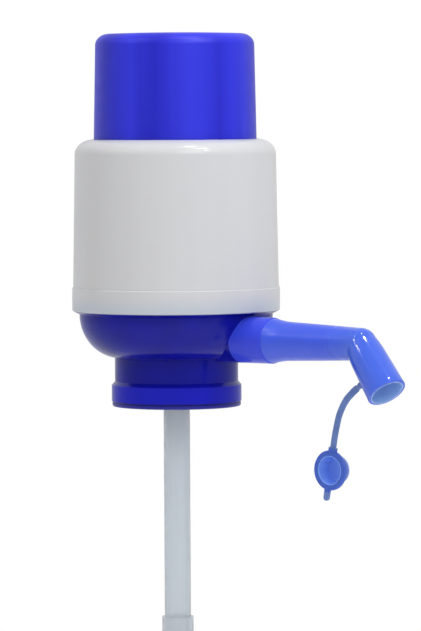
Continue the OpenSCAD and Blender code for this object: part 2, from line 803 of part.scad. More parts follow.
// Ribbed rubber air bag with a clamped lip at each end
module bellows() {
    top_z = top_lip_z;
    base_z = bottom_lip_z;
    pitch = (top_z - base_z) / folds;
    t = bellows_t;
    outside = [for (i = [0 : folds - 1]) each [[valley_r, base_z + pitch * i],
                                               [bellows_r, base_z + pitch * (i + 0.42)],
                                               [bellows_r, base_z + pitch * (i + 0.58)]]];
    inside = [for (i = [folds - 1 : -1 : 0]) each [[bellows_r - t, base_z + pitch * (i + 0.58)],
                                                   [bellows_r - t, base_z + pitch * (i + 0.42)],
                                                   [valley_r - t, base_z + pitch * i]]];
    color("#3c3e42")
    difference() {
        rotate_extrude()
            polygon(concat([[valley_r - t, seat_z], [clamp_out_r, seat_z],
                            [clamp_out_r, base_z]],
                           outside,
                           [[valley_r, top_z], [valley_r, top_z + t], [lip_hole_r, top_z + t],
                            [lip_hole_r, top_z], [valley_r - t, top_z]],
                           inside));
        around(base_screw_n, base_screw_r, 45)
            translate([0, 0, seat_z - through])
                cylinder(r = clear_r, h = t + 2 * through);
        around(top_screw_n, top_screw_r)
            translate([0, 0, top_z - through])
                cylinder(r = clear_r, h = t + 2 * through);
    }
}

// The spring's middle line: a closed turn at each end and open turns between
spring_low = seat_z + wire_r * cos(30);
spring_high = plate_z - soft_gap - wire_r;
dead_pitch = 2 * wire_r + 0.5;
open_pitch = (spring_high - spring_low - 2 * dead_pitch) / coils;
spring_steps = (coils + 2) * steps_per_turn;
function spring_z(turn) =
    turn < 1 ? spring_low + dead_pitch * turn
    : turn > coils + 1 ? spring_high - dead_pitch * (coils + 2 - turn)
    : spring_low + dead_pitch + open_pitch * (turn - 1);
function spring_point(i) =
    let (turn = i / steps_per_turn)
    [coil_r * cos(360 * turn), coil_r * sin(360 * turn), spring_z(turn)];

// One six-sided section of the wire
function wire_ring(i) =
    let (a = 360 * i / steps_per_turn,
         out = [cos(a), sin(a), 0],
         slope = spring_z(min(i + 0.5, spring_steps) / steps_per_turn)
               - spring_z(max(i - 0.5, 0) / steps_per_turn),
         run = 2 * PI * coil_r / steps_per_turn,
         t = [-sin(a) * run, cos(a) * run, slope] / norm([run, slope]),
         up = cross(out, t))
    [for (k = [0 : 5]) spring_point(i) + wire_r * (out * cos(60 * k) + up * sin(60 * k))];

// Least gap between the wire's sections one turn apart
spring_gap = min([for (i = [0 : spring_steps - steps_per_turn])
    norm(spring_point(i + steps_per_turn) - spring_point(i))]) - 2 * wire_r;
echo(spring_gap = spring_gap);

// Steel spring that lifts the cap
module return_spring() {
    last = spring_steps;
    color("silver")
    polyhedron(
        points = [for (i = [0 : last]) each wire_ring(i)],
        faces = concat(
            [[for (k = [0 : 5]) k]],
            [[for (k = [5 : -1 : 0]) last * 6 + k]],
            [for (i = [0 : last - 1]) for (k = [0 : 5])
                let (a = i * 6 + k, b = i * 6 + (k + 1) % 6)
                each [[a, a + 6, b + 6], [a, b + 6, b]]]));
}

// Disc under the cap's roof: air holes, valve hole, screw holes and a rib round the spring's end
module spring_plate() {
    color("#d8d8d6")
    difference() {
        union() {
            tube(valley_r + 1.5, 0, plate_z, plate_top_z);
            tube(spring_rib_r, spring_rib_r - spring_rib_w, plate_z - spring_rib_h, plate_z);
        }
        valve_holes(plate_z);
        around(top_screw_n, top_screw_r)
            translate([0, 0, plate_z - through])
                cylinder(r = clear_r, h = disc_t + 2 * through);
    }
}

// Ring that clamps the bellows' upper lip
module bellows_top_ring() {
    color("#d8d8d6")
    difference() {
        tube(lip_hole_r + ring_w, lip_hole_r, top_ring_z, top_ring_z + disc_t);
        around(top_screw_n, top_screw_r)
            translate([0, 0, top_ring_z - through])
                cylinder(r = clear_r, h = disc_t + 2 * through);
    }
}

// Three screws up into the cap's posts
module top_screws() {
    color("silver")
    around(top_screw_n, top_screw_r)
        translate([0, 0, top_ring_z])
            rotate([180, 0, 0])
                pan_screw(top_screw_l);
}

// Rubber valve that lets air into the bellows
module intake_valve() {
    color("#b0483c")
    translate([0, 0, plate_z])
        umbrella_valve();
}

// Disc that closes the bowl: holes for the check valve and screws, and a rib round the spring
module valve_plate() {
    color("#d8d8d6")
    difference() {
        union() {
            tube(hollow_r - 0.3, 0, valve_plate_z, seat_z);
            tube(spring_rib_r, spring_rib_r - spring_rib_w, seat_z, seat_z + spring_rib_h);
        }
        translate([-check_x, 0, 0])
            valve_holes(valve_plate_z);
        around(base_screw_n, base_screw_r, 45)
            translate([0, 0, valve_plate_z - through])
                cylinder(r = clear_r, h = disc_t + 2 * through);
    }
}

// Ring that clamps the bellows' lower lip
module bellows_bottom_ring() {
    color("#d8d8d6")
    difference() {
        tube(clamp_out_r, clamp_r, bottom_lip_z, bottom_lip_z + disc_t);
        around(base_screw_n, base_screw_r, 45)
            translate([0, 0, bottom_lip_z - through])
                cylinder(r = clear_r, h = disc_t + 2 * through);
    }
}

// Four screws down into the bowl
module base_screws() {
    color("silver")
    around(base_screw_n, base_screw_r, 45)
        translate([0, 0, bottom_lip_z + disc_t])
            pan_screw(base_screw_l);
}

// Rubber valve that lets air down past the neck
module check_valve() {
    color("#b0483c")
    translate([-check_x, 0, valve_plate_z])
        umbrella_valve();
}

// A section of the suction tube with a socket at its top
module socketed_tube(joint_z, end_z) {
    rotate_extrude()
        polygon([[dip_bore_r, end_z], [dip_r, end_z], [dip_r, joint_z - 6],
                 [socket_r, joint_z - 2], [socket_r, joint_z + socket_l],
                 [dip_r + fit, joint_z + socket_l], [dip_r + fit, joint_z],
                 [dip_bore_r, joint_z]]);
}

// Section that hangs on the nipple
module dip_tube_upper() {
    color("#e4e9ee")
    tube(dip_r, dip_bore_r, dip_joint_1_z, dip_top_z);
}

// Second section
module dip_tube_middle() {
    color("#e4e9ee")
    socketed_tube(dip_joint_1_z, dip_joint_2_z);
}

// Third section
module dip_tube_lower() {
    color("#e4e9ee")
    socketed_tube(dip_joint_2_z, dip_end_z);
}

// Slotted foot that keeps the tube's end clear, so that water gets in
module inlet_foot() {
    low_z = dip_end_z - 8;
    color("#3446b4")
    difference() {
        rotate_extrude()
            polygon([[0, low_z], [socket_r - 1, low_z], [socket_r, low_z + 1],
                     [socket_r, low_z + foot_h], [dip_r + fit, low_z + foot_h],
                     [dip_r + fit, dip_end_z], [dip_bore_r, dip_end_z],
                     [dip_bore_r, low_z + 2], [0, low_z + 2]]);
        around(foot_slots, 0)
            translate([dip_bore_r - 2, -1.25, low_z - through])
                cube([socket_r, 2.5, 7]);
    }
}

press_cap();
outer_shell();
base_body();
neck_grip_ring();
neck_gasket();
spout();
spout_oring();
tether_eye();
cap_tether();
dust_cap();
bellows();
return_spring();
spring_plate();
bellows_top_ring();
top_screws();
intake_valve();
valve_plate();
bellows_bottom_ring();
base_screws();
check_valve();
dip_tube_upper();
dip_tube_middle();
dip_tube_lower();
inlet_foot();
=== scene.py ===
"""Finishes the hand pump over its CAD frame and sets it before the photograph's camera."""

import logging
import math
from dataclasses import dataclass, field
from enum import Enum
from typing import ClassVar

import bmesh
import bpy
from mathutils import Matrix, Vector


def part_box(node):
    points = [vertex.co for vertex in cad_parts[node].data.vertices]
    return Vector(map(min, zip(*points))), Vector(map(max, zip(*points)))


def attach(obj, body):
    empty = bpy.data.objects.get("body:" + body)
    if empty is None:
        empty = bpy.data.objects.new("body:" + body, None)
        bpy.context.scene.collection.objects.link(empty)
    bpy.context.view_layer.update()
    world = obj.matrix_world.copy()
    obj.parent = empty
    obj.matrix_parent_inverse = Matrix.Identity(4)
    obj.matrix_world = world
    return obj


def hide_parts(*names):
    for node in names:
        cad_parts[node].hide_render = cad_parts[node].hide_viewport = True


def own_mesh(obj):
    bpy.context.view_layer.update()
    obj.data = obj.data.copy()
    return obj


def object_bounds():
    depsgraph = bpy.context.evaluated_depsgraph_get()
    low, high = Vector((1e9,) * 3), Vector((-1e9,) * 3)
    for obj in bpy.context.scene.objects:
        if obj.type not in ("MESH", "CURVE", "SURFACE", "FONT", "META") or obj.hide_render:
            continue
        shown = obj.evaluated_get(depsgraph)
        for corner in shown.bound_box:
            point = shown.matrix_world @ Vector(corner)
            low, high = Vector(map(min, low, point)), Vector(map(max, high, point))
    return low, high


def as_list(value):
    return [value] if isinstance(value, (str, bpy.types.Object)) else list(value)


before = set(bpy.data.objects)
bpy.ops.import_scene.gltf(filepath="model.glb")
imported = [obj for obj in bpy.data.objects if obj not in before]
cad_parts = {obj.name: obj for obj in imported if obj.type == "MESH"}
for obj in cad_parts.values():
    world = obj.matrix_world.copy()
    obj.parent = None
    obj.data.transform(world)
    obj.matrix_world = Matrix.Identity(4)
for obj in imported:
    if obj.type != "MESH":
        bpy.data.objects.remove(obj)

CAD_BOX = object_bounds()
MM = 0.001
UP = Vector((0, 0, 1))
SHARP = math.radians(32)
SEAM = 2e-6
SAME_PLACE = 1e-7
LOG = logging.getLogger("hand_pump")

Colour = tuple[float, float, float]
Triple = tuple[float, float, float]
Socket = bpy.types.NodeSocket


class Body(Enum):
    """The bodies of the frame that pieces ride on."""

    BASE = "base"
    PRESS = "press"
    SPOUT = "spout_body"
    TETHER = "tether"
    INTAKE = "intake_disc"
    CHECK = "check_disc"


class Grain(Enum):
    """Which way the faint marks of a moulding run."""

    UPRIGHT = (1.0, 1.0, 0.03)
    EVEN = (1.0, 1.0, 1.0)
    ALONG_SPOUT = (0.08, 1.0, 1.0)
    ROUND = (0.15, 0.15, 1.0)


# ---------------------------------------------------------------- node helpers


class Shader:
    """A Principled material with short calls for the procedural nodes that feed it."""

    def __init__(self, name: str) -> None:
        """Starts the material.

        Args:
            name: the material's name.
        """
        self.material = bpy.data.materials.new(name)
        self.material.use_nodes = True
        self.nodes = self.material.node_tree.nodes
        self.links = self.material.node_tree.links
        self.principled = self.nodes["Principled BSDF"]

    def coordinates(self, stretch: Triple = Grain.EVEN.value) -> Socket:
        """Object coordinates, stretched.

        Args:
            stretch: the factor along X, Y and Z.

        Returns:
            The socket with the stretched coordinates.
        """
        source = self.nodes.new("ShaderNodeTexCoord")
        mapping = self.nodes.new("ShaderNodeMapping")
        mapping.inputs["Scale"].default_value = stretch
        self.links.new(source.outputs["Object"], mapping.inputs["Vector"])
        return mapping.outputs["Vector"]

    def noise(self, stretch: Triple, scale: float, detail: float) -> Socket:
        """Soft noise in the piece's own space.

        Args:
            stretch: the factor along X, Y and Z.
            scale: waves per metre.
            detail: octaves.

        Returns:
            The noise's factor.
        """
        node = self.nodes.new("ShaderNodeTexNoise")
        node.inputs["Scale"].default_value = scale
        node.inputs["Detail"].default_value = detail
        self.links.new(self.coordinates(stretch), node.inputs["Vector"])
        return node.outputs["Fac"]

    def range(self, value: Socket, low: float, high: float,
              from_low: float = 0.3, from_high: float = 0.7) -> Socket:
        """Maps a value to a new range.

        Args:
            value: the socket to map.
            low: what from_low becomes.
            high: what from_high becomes.
            from_low: the old range's low end.
            from_high: the old range's high end.

        Returns:
            The mapped value.
        """
        node = self.nodes.new("ShaderNodeMapRange")
        node.inputs["From Min"].default_value = from_low
        node.inputs["From Max"].default_value = from_high
        node.inputs["To Min"].default_value = low
        node.inputs["To Max"].default_value = high
        self.links.new(value, node.inputs["Value"])
        return node.outputs["Result"]

    def mix(self, factor: Socket, a: Colour | Socket, b: Colour | Socket) -> Socket:
        """Mixes two colours.

        Args:
            factor: 0 gives a and 1 gives b.
            a: a colour or a socket.
            b: a colour or a socket.

        Returns:
            The mixed colour.
        """
        node = self.nodes.new("ShaderNodeMix")
        node.data_type = "RGBA"
        self.links.new(factor, node.inputs[0])
        for socket, value in ((node.inputs[6], a), (node.inputs[7], b)):
            if isinstance(value, Socket):
                self.links.new(value, socket)
            else:
                socket.default_value = (*value, 1.0)
        return node.outputs[2]

    def bump(self, height: Socket, distance: float, strength: float,
             under: Socket | None = None) -> Socket:
        """Raises the surface by a height.

        Args:
            height: the height's socket.
            distance: metres of relief.
            strength: how much of it shows.
            under: the normal of a coarser bump, if there is one.

        Returns:
            The normal.
        """
        node = self.nodes.new("ShaderNodeBump")
        node.inputs["Distance"].default_value = distance
        node.inputs["Strength"].default_value = strength
        self.links.new(height, node.inputs["Height"])
        if under is not None:
            self.links.new(under, node.inputs["Normal"])
        return node.outputs["Normal"]

    def axis(self, letter: str) -> Socket:
        """One of the object coordinates.

        Args:
            letter: "X", "Y" or "Z".

        Returns:
            The coordinate, in metres.
        """
        split = self.nodes.new("ShaderNodeSeparateXYZ")
        self.links.new(self.coordinates(), split.inputs["Vector"])
        return split.outputs[letter]

    def multiply(self, a: Socket, b: Socket) -> Socket:
        """Multiplies two values.

        Args:
            a: the first value.
            b: the second value.

        Returns:
            The product.
        """
        node = self.nodes.new("ShaderNodeMath")
        node.operation = "MULTIPLY"
        self.links.new(a, node.inputs[0])
        self.links.new(b, node.inputs[1])
        return node.outputs[0]

    def along_line(self, start: Vector, way: Vector) -> tuple[Socket, Socket]:
        """Where the surface lies by a line.

        Args:
            start: a point of the line, in metres.
            way: the line's direction.

        Returns:
            The distance along the line from its start, and the distance from the line.
        """
        turn = way.normalized().rotation_difference(Vector((1, 0, 0)))
        placed = self.coordinates()
        placed.node.inputs["Rotation"].default_value = turn.to_euler("XYZ")
        placed.node.inputs["Location"].default_value = -(turn.to_matrix() @ start)
        split = self.nodes.new("ShaderNodeSeparateXYZ")
        self.links.new(placed, split.inputs["Vector"])
        across = self.nodes.new("ShaderNodeVectorMath")
        across.operation = "MULTIPLY"
        across.inputs[1].default_value = (0.0, 1.0, 1.0)
        self.links.new(placed, across.inputs[0])
        length = self.nodes.new("ShaderNodeVectorMath")
        length.operation = "LENGTH"
        self.links.new(across.outputs["Vector"], length.inputs[0])
        return split.outputs["X"], length.outputs["Value"]

    def set(self, **values: float) -> None:
        """Sets the shader's own sockets; an underscore in a name stands for a space."""
        for name, value in values.items():
            self.principled.inputs[name.replace("_", " ")].default_value = value

    def join(self, socket: Socket, name: str) -> None:
        """Links a socket to the shader's input of that name."""
        self.links.new(socket, self.principled.inputs[name])


def directly_seen(nodes: bpy.types.Nodes, links: bpy.types.NodeLinks) -> Socket:
    """Tells rays from the camera, straight or through clear plastic, from all others.

    Args:
        nodes: the nodes of the material or the world.
        links: their links.

    Returns:
        1 on such a ray and 0 on the rest.
    """
    path = nodes.new("ShaderNodeLightPath")
    seen = nodes.new("ShaderNodeMath")
    seen.operation = "MAXIMUM"
    links.new(path.outputs["Is Camera Ray"], seen.inputs[0])
    links.new(path.outputs["Is Transmission Ray"], seen.inputs[1])
    return seen.outputs[0]


# ---------------------------------------------------------------- finishes


@dataclass(frozen=True)
class Moulded:
    """Moulded plastic: a clear colour with faint moulding marks, soft unevenness and a fine skin; on the cap
    the upright marks are painted reflection.

    Attributes:
        name: the material's name.
        colour: the tint where the marks are clear.
        shade: the tint where they are deep.
        roughness: the mean roughness.
        gloss: the specular level.
        coat: the weight of the polished skin over it.
        grain: which way the marks run.
        flow_and_streaks: marks per metre; moulding marks on most parts, painted reflection streaks on the
            cap.
        skin: how much of the fine skin shows.
        soft: how much light passes under the surface.
    """

    name: str
    colour: Colour
    shade: Colour
    roughness: float = 0.24
    gloss: float = 0.5
    coat: float = 0.25
    grain: Grain = Grain.EVEN
    flow_and_streaks: float = 45.0
    skin: float = 0.06
    soft: float = 0.0

    PATCHES: ClassVar[float] = 160.0
    PATCH_SPREAD: ClassVar[float] = 0.03
    WAVES: ClassVar[float] = 70.0
    WAVE_DEPTH: ClassVar[float] = 0.6 * MM
    WAVE_SHARE: ClassVar[float] = 0.1
    PORES: ClassVar[float] = 1500.0
    PORE_DEPTH: ClassVar[float] = 0.04 * MM
    COAT_ROUGHNESS: ClassVar[float] = 0.04
    LIGHT_REACH: ClassVar[float] = 3.0 * MM
    LIGHT_SHARES: ClassVar[Triple] = (0.5, 0.6, 1.0)

    def shader(self) -> Shader:
        """Builds the shader.

        Returns:
            The finished shader.
        """
        made = Shader(self.name)
        # Moulding marks; on the cap these upright bands are painted reflection streaks.
        flow_and_streaks = made.noise(self.grain.value, self.flow_and_streaks, 3.0)
        made.join(self.tinted(made, made.mix(made.range(flow_and_streaks, 0.0, 1.0), self.shade, self.colour)),
                  "Base Color")
        made.join(self.rough(made), "Roughness")
        waves = made.bump(made.noise(self.grain.value, self.WAVES, 1.0), self.WAVE_DEPTH, self.WAVE_SHARE)
        pores = made.noise(Grain.EVEN.value, self.PORES, 1.0)
        made.join(made.bump(pores, self.PORE_DEPTH, self.skin, waves), "Normal")
        made.set(Specular_IOR_Level=self.gloss, Coat_Weight=self.coat, Coat_Roughness=self.COAT_ROUGHNESS)
        if self.soft > 0.0:
            made.set(Subsurface_Weight=self.soft, Subsurface_Scale=self.LIGHT_REACH)
            made.principled.inputs["Subsurface Radius"].default_value = self.LIGHT_SHARES
        return made

    def rough(self, made: Shader) -> Socket:
        """The roughness, a little uneven."""
        patches = made.noise(Grain.EVEN.value, self.PATCHES, 3.0)
        return made.range(patches, self.roughness - self.PATCH_SPREAD, self.roughness + self.PATCH_SPREAD)

    def tinted(self, made: Shader, colour: Socket) -> Socket:
        """The colour as it is, for a piece of one tint."""
        return colour

    def material(self) -> bpy.types.Material:
        """The finished material."""
        return self.shader().material


@dataclass(frozen=True)
class BandTintAndPaintedShade(Moulded):
    """Moulded plastic whose tint changes between two places along one axis; on the shell it turns to a bluer
    tint darkened with painted shade towards the bottom.

    Attributes:
        band_tint_and_shade: the tint past the change: a bluer tint with painted shade.
        letter: the axis.
        start: where the change starts.
        end: where it is done.
    """

    band_tint_and_shade: Colour = (0.5, 0.5, 0.5)
    letter: str = "X"
    start: float = 0.0
    end: float = 0.01

    def tinted(self, made: Shader, colour: Socket) -> Socket:
        """Blends to the band's bluer tint with painted shade.

        Args:
            made: the shader.
            colour: the first tint.

        Returns:
            The blended colour.
        """
        place = made.range(made.axis(self.letter), 0.0, 1.0, self.start, self.end)
        # Painted shade: below the change the band is darker, as less light reaches low down.
        return made.mix(place, colour, self.band_tint_and_shade)


@dataclass(frozen=True)
class PaintedBossAndFootLight(Moulded):
    """Moulded plastic with painted light: a paler blue on the boss round the spout's axis and a clearer blue
    on the collar's foot, where they catch more light.

    Attributes:
        boss: the painted light on the boss, a paler blue.
        foot: the painted light on the foot, a clearer blue.
        axis_z: the height of the spout's axis.
        reach: the boss's radius.
        start: how far out the boss leaves the bowl.
        foot_z: the top of the foot.
        edge: how wide the boss's change of tint is across its axis.
        root: how wide it is along the axis.
    """

    boss: Colour = (0.5, 0.5, 0.5)
    foot: Colour = (0.5, 0.5, 0.5)
    axis_z: float = 14.65 * MM
    reach: float = 11.74 * MM
    start: float = 43.2 * MM
    foot_z: float = -8.4 * MM
    edge: float = 0.08 * MM
    root: float = 0.3 * MM

    def tinted(self, made: Shader, colour: Socket) -> Socket:
        """Changes to the boss's painted light on the boss and to the foot's painted light on the foot.

        Args:
            made: the shader.
            colour: the first tint.

        Returns:
            The colour of bowl, boss and foot.
        """
        along, aside = made.along_line(Vector((0.0, 0.0, self.axis_z)), Vector((1, 0, 0)))
        near = made.range(aside, 1.0, 0.0, self.reach, self.reach + self.edge)
        past = made.range(along, 0.0, 1.0, self.start, self.start + self.root)
        below = made.range(made.axis("Z"), 0.0, 1.0, self.foot_z, self.foot_z - MM)
        # Painted light: paler on the boss, clearer on the foot.
        return made.mix(made.multiply(near, past), made.mix(below, colour, self.foot), self.boss)


@dataclass(frozen=True)
class PaintedInsideLight(Moulded):
    """Thin moulding whose inside has a paler tint than its outside: painted light, standing in for light that
    passes through the thin wall.

    Attributes:
        inside: the painted light inside, a paler tint.
        mouth: a point of the hollow's axis.
        way: the axis's direction.
        reach: the hollow's radius.
        start: where the hollow starts along its axis, from the mouth.
        edge: how wide the change of tint is across the axis.
    """

    inside: Colour = (0.5, 0.5, 0.5)
    mouth: Triple = (0.0, 0.0, 0.0)
    way: Triple = (1.0, 0.0, 0.0)
    reach: float = 8.0 * MM
    start: float = 0.0
    edge: float = 0.2 * MM

    def tinted(self, made: Shader, colour: Socket) -> Socket:
        """Changes to the paler tint of painted light inside.

        Args:
            made: the shader.
            colour: the outside's tint.

        Returns:
            The colour of outside and inside.
        """
        along, aside = made.along_line(Vector(self.mouth), Vector(self.way))
        near = made.range(aside, 1.0, 0.0, self.reach, self.reach + self.edge)
        past = made.range(along, 0.0, 1.0, self.start, self.start + MM)
        # Painted light: the inside gets the paler tint.
        return made.mix(made.multiply(near, past), colour, self.inside)


@dataclass(frozen=True)
class StrapAndPlug(PaintedInsideLight):
    """A finish with painted light inside, whose tint is clearer on the plug than on the strap.

    Attributes:
        plug: the plug's tint.
        plug_r: the plug's radius.
    """

    plug: Colour = (0.5, 0.5, 0.5)
    plug_r: float = 10.6 * MM

    def tinted(self, made: Shader, colour: Socket) -> Socket:
        """Changes to the plug's tint round its axis, and to the paler painted light inside it.

        Args:
            made: the shader.
            colour: the strap's tint.

        Returns:
            The colour of strap and plug.
        """
        aside = made.along_line(Vector(self.mouth), Vector(self.way))[1]
        near = made.range(aside, 1.0, 0.0, self.plug_r, self.plug_r + MM)
        return super().tinted(made, made.mix(near, colour, self.plug))


@dataclass(frozen=True)
class PolishedEndPaintedReflection(PaintedInsideLight):
    """Thin moulding that is satin up to a place along X, and polished past it, with a lighter, greyer tint
    there that is painted reflection of the white surroundings.

    Attributes:
        satin_end: where the satin ends.
        gloss_start: where the polish is whole.
        polish: the share of the roughness that is left there.
        tip: the painted reflection there, a lighter, greyer tint.
    """

    satin_end: float = 0.0
    gloss_start: float = 0.01
    polish: float = 0.5
    tip: Colour = (0.5, 0.5, 0.5)

    def tinted(self, made: Shader, colour: Socket) -> Socket:
        """Changes to the tip's painted reflection past the place, and to the painted light inside.

        Args:
            made: the shader.
            colour: the tint up to the place.

        Returns:
            The colour of tube, tip and inside.
        """
        past = made.range(made.axis("X"), 0.0, 1.0, self.satin_end, self.gloss_start)
        # Painted reflection: the tip's lighter, greyer tint past the place.
        return super().tinted(made, made.mix(past, colour, self.tip))

    def rough(self, made: Shader) -> Socket:
        """The roughness, lower past the place."""
        share = made.range(made.axis("X"), 1.0, self.polish, self.satin_end, self.gloss_start)
        return made.multiply(super().rough(made), share)


@dataclass(frozen=True)
class Rubber:
    """Matt rubber with bloom on its skin.

    Attributes:
        name: the material's name.
        colour: the rubber's tint.
        bloom: the tint where it has bloomed.
        smooth: the roughness of the bare rubber.
        dull: the roughness of the bloom.
        clouds: clouds of bloom per metre.
        pores: pores per metre.
        pore_depth: how deep they are.
    """

    name: str
    colour: Colour
    bloom: Colour
    smooth: float = 0.62
    dull: float = 0.8
    clouds: float = 90.0
    pores: float = 1600.0
    pore_depth: float = 0.05 * MM

    def material(self) -> bpy.types.Material:
        """Builds the material.

        Returns:
            The finished material.
        """
        made = Shader(self.name)
        cloud = made.noise(Grain.EVEN.value, self.clouds, 5.0)
        made.join(made.mix(made.range(cloud, 0.0, 1.0), self.colour, self.bloom), "Base Color")
        made.join(made.range(cloud, self.smooth, self.dull), "Roughness")
        made.join(made.bump(made.noise(Grain.EVEN.value, self.pores, 3.0), self.pore_depth, 0.5), "Normal")
        made.set(Specular_IOR_Level=0.35, Sheen_Weight=0.15, Sheen_Roughness=0.4)
        return made.material


@dataclass(frozen=True)
class Steel:
    """Bright steel with fine drawing lines.

    Attributes:
        name: the material's name.
        colour: the tint between the lines.
        roughness: the roughness between the lines.
        stretch: how the lines are drawn out along X, Y and Z.
        lines: lines per metre.
        line_shade: the lines' share of the tint.
        line_roughness: what they add to the roughness.
        line_depth: how deep they are.
    """

    name: str
    colour: Colour
    roughness: float
    stretch: Triple
    lines: float = 900.0
    line_shade: float = 0.75
    line_roughness: float = 0.12
    line_depth: float = 0.03 * MM

    def material(self) -> bpy.types.Material:
        """Builds the material.

        Returns:
            The finished material.
        """
        made = Shader(self.name)
        lines = made.noise(self.stretch, self.lines, 2.0)
        dark = tuple(self.line_shade * part for part in self.colour)
        made.join(made.mix(made.range(lines, 0.0, 1.0), dark, self.colour), "Base Color")
        made.join(made.range(lines, self.roughness, self.roughness + self.line_roughness), "Roughness")
        made.join(made.bump(lines, self.line_depth, 0.4), "Normal")
        made.set(Metallic=1.0)
        return made.material


@dataclass(frozen=True)
class Milky:
    """Extruded see-through plastic, slightly milky, with drawing lines along it.

    Attributes:
        name: the material's name.
        colour: the tint between the lines.
        clear: the share of light that passes.
        smooth: the roughness between the lines.
        dull: the roughness on the lines.
        lines: lines per metre.
        line_gain: how much paler they are.
        line_depth: how deep they are.
    """

    name: str
    colour: Colour
    clear: float = 0.55
    smooth: float = 0.12
    dull: float = 0.22
    lines: float = 420.0
    line_gain: float = 1.06
    line_depth: float = 0.04 * MM

    def material(self) -> bpy.types.Material:
        """Builds the material.

        Returns:
            The finished material.
        """
        made = Shader(self.name)
        lines = made.noise(Grain.UPRIGHT.value, self.lines, 2.0)
        pale = tuple(min(1.0, self.line_gain * part) for part in self.colour)
        made.join(made.mix(made.range(lines, 0.0, 1.0), self.colour, pale), "Base Color")
        made.join(made.range(lines, self.smooth, self.dull), "Roughness")
        made.join(made.bump(lines, self.line_depth, 0.25), "Normal")
        made.set(Transmission_Weight=self.clear, IOR=1.45, Coat_Weight=0.2, Coat_Roughness=0.08)
        return made.material


Finish = Moulded | Rubber | Steel | Milky

# Cap: the strong upright bands of lighter and darker blue are painted reflection, streaks of the surroundings
# put into the colour.
CAP_BLUE_PAINTED_STREAKS = Moulded("cap_blue", (0.020, 0.026, 0.70), (0.003, 0.004, 0.45), roughness=0.44,
                   gloss=0.38, coat=0.0, grain=Grain.UPRIGHT, flow_and_streaks=46.0, skin=0.02)
SHELL_WHITE = BandTintAndPaintedShade("shell_white", (0.605, 0.61, 0.63), (0.565, 0.565, 0.575), roughness=0.4,
                      gloss=0.25, coat=0.4, grain=Grain.UPRIGHT, flow_and_streaks=30.0, letter="Z", skin=0.0,
                      # The shell's band below 38 mm: partly a bluer tint, partly painted shade, darker
                      # towards the bottom.
                      start=0.038, end=0.030, band_tint_and_shade=(0.49, 0.525, 0.585))
BASE_BLUE = PaintedBossAndFootLight("base_blue", (0.005, 0.006, 0.31), (0.003, 0.004, 0.22), roughness=0.17,
                   # The bowl's dark tint is partly painted shade under the shell; the boss's and the foot's
                   # clearer tints are painted light on the same plastic.
                   gloss=0.16, coat=0.13, skin=0.0, boss=(0.040, 0.066, 0.70), foot=(0.007, 0.009, 0.43))
RING_BLUE = Moulded("ring_blue", (0.008, 0.009, 0.32), (0.005, 0.006, 0.24), roughness=0.3,
                    gloss=0.35, coat=0.1, grain=Grain.ROUND)
SPOUT_BLUE = PolishedEndPaintedReflection("spout_blue", (0.046, 0.11, 0.78), (0.035, 0.085, 0.68), roughness=0.32,
                         gloss=0.5, coat=0.15, grain=Grain.ALONG_SPOUT, flow_and_streaks=60.0, soft=0.25, skin=0.03,
                         # The nozzle's paler inside is painted light.
                         inside=(0.37, 0.58, 1.0), mouth=(0.1174, 0.0, 0.01465),
                         way=(0.636078, -0.133991, -0.759902), reach=8.3 * MM, start=9.0 * MM,
                         satin_end=0.100, gloss_start=0.116, polish=0.35,
                         # The nozzle's lighter, greyer tip is painted reflection of the white surroundings.
                         tip=(0.060, 0.135, 0.70))
STRAP_BLUE = StrapAndPlug("strap_blue", (0.145, 0.225, 0.50), (0.11, 0.185, 0.43), roughness=0.34,
                          gloss=0.45, coat=0.1, flow_and_streaks=120.0, skin=0.1, soft=0.3,
                          # The dust cap's paler inside is painted light.
                          plug=(0.047, 0.118, 0.53), inside=(0.20, 0.36, 0.90),
                          mouth=(0.10215, -0.00507, -0.04706), way=(0.0, 1.0, 0.0),
                          reach=7.0 * MM, start=-5.0 * MM)
FOOT_BLUE = Moulded("foot_blue", (0.02, 0.035, 0.5), (0.015, 0.025, 0.4), roughness=0.22)
INNER_WHITE = Moulded("inner_white", (0.68, 0.68, 0.66), (0.62, 0.62, 0.60), roughness=0.42,
                      coat=0.0, flow_and_streaks=70.0, skin=0.2)
BLACK_RUBBER = Rubber("black_rubber", (0.018, 0.018, 0.021), (0.045, 0.045, 0.05))
VALVE_RUBBER = Rubber("valve_rubber", (0.36, 0.06, 0.04), (0.46, 0.10, 0.07))
SPRING_STEEL = Steel("spring_steel", (0.62, 0.62, 0.63), 0.22, (1.0, 1.0, 0.2))
SCREW_STEEL = Steel("screw_steel", (0.72, 0.72, 0.70), 0.28, (1.0, 1.0, 1.0))
TUBE_CLEAR = Milky("tube_clear", (0.80, 0.85, 0.90))


# ---------------------------------------------------------------- mesh and dressing helpers


def piece_from(mesh: bmesh.types.BMesh, name: str, sharp: float = SHARP) -> bpy.types.Object:
    """Makes an object of a finished bmesh, smooth but for its sharp edges.

    Args:
        mesh: the bmesh, which is freed.
        name: the object's name.
        sharp: the angle past which an edge stays sharp.

    Returns:
        The linked object.
    """
    for face in mesh.faces:
        face.smooth = True
    for edge in mesh.edges:
        if len(edge.link_faces) == 2 and edge.calc_face_angle(0.0) > sharp:
            edge.smooth = False
    data = bpy.data.meshes.new(name)
    mesh.to_mesh(data)
    mesh.free()
    made = bpy.data.objects.new(name, data)
    bpy.context.scene.collection.objects.link(made)
    return made


def weigh_normals(made: bpy.types.Object) -> None:
    """Keeps large flat faces flat beside small curved ones.

    Args:
        made: the piece, which gets a live modifier.
    """
    modifier = made.modifiers.new("weighted", "WEIGHTED_NORMAL")
    modifier.keep_sharp = True
    modifier.weight = 60


